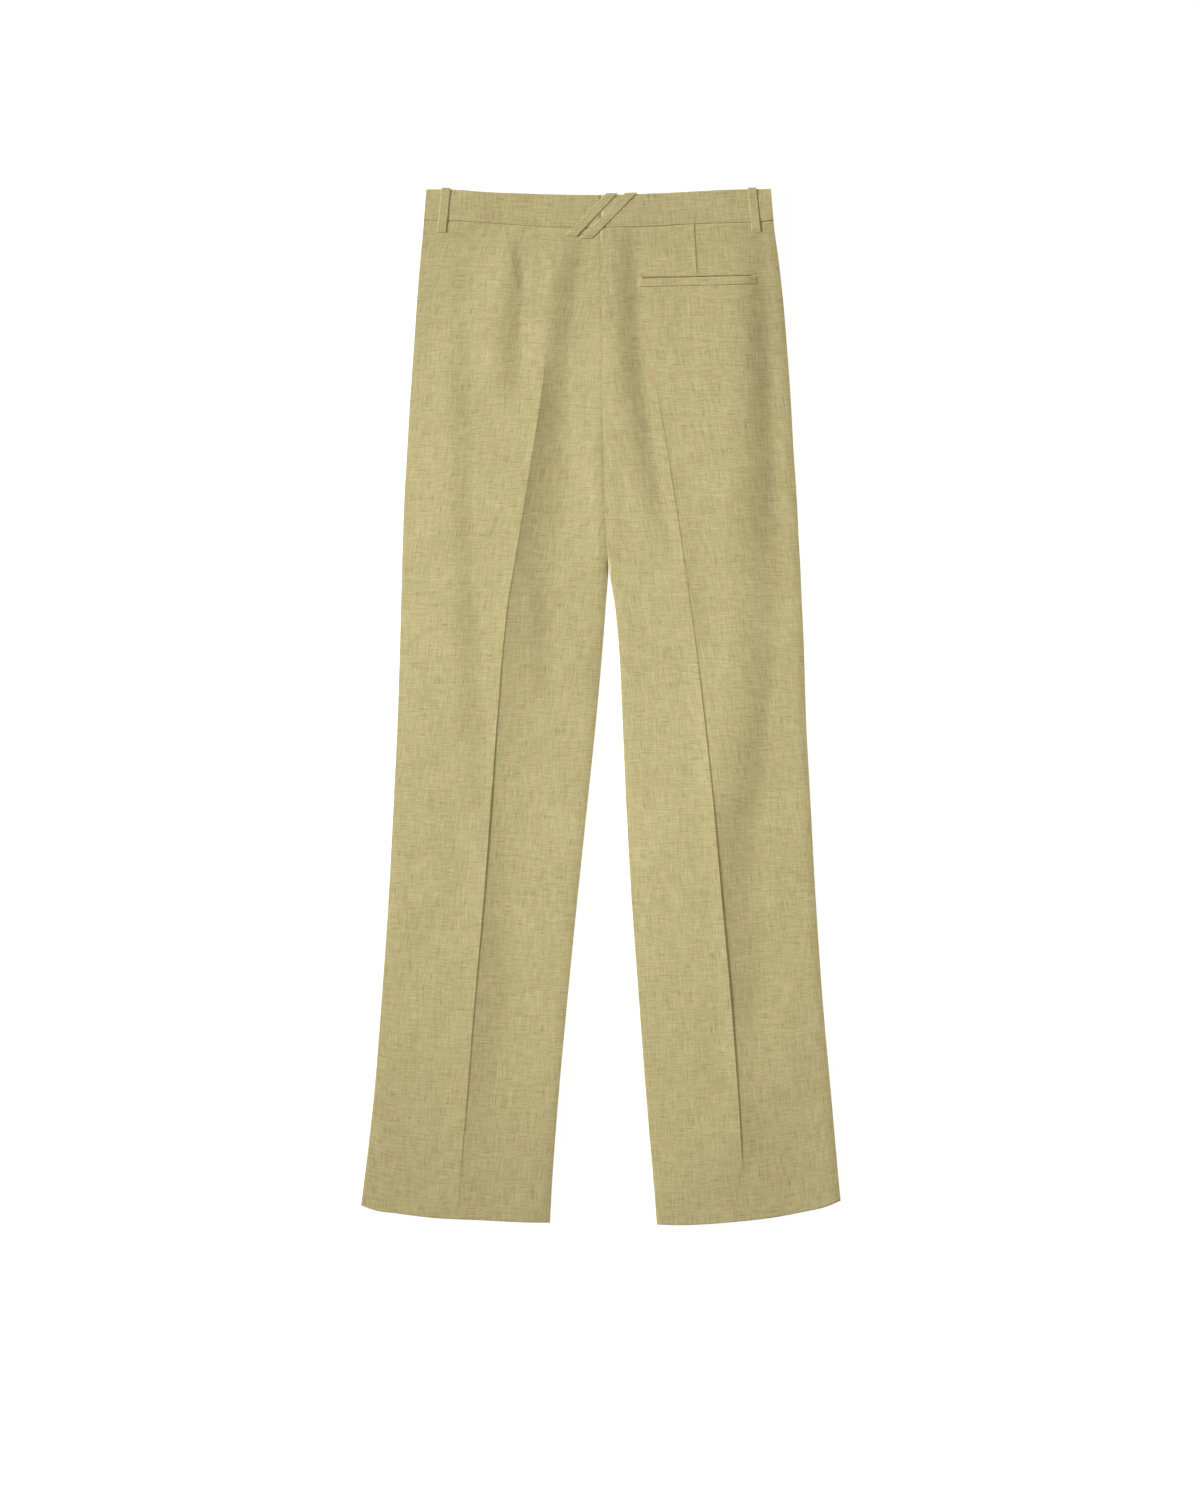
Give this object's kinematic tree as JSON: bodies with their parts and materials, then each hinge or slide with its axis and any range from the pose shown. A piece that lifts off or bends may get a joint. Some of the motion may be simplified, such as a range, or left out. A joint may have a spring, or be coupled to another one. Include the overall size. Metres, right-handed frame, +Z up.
{
  "type": "tailored trousers",
  "caption": "Tailored wool trousers laid flat, back side up: long straight legs with pressed creases, a waistband with straight and slanted belt loops, and a welt back pocket.",
  "frame": {"origin": "middle of the bounding box at the surface that the trousers lie on", "axes": "+Y from the hems to the waist, +X from the wearer's left leg to the right leg, +Z up, out of the trousers' back"},
  "size_m": [0.5033, 1.0882, 0.0088],
  "materials": {
    "wool_cloth": "matt melange plain-weave wool, pressed"
  },
  "bodies": {
    "root": {"back_leg_left": "wool_cloth", "back_leg_right": "wool_cloth", "front_leg_left": "wool_cloth", "front_leg_right": "wool_cloth", "waistband_back_left": "wool_cloth", "waistband_back_right": "wool_cloth", "waistband_front_left": "wool_cloth", "waistband_front_right": "wool_cloth", "loop_back_left": "wool_cloth", "loop_back_right": "wool_cloth", "loop_slanted_left": "wool_cloth", "loop_slanted_right": "wool_cloth", "loop_front_left": "wool_cloth", "loop_front_right": "wool_cloth", "pocket_welt_right": "wool_cloth", "fly_shield": "wool_cloth"}
  },
  "joints": []
}
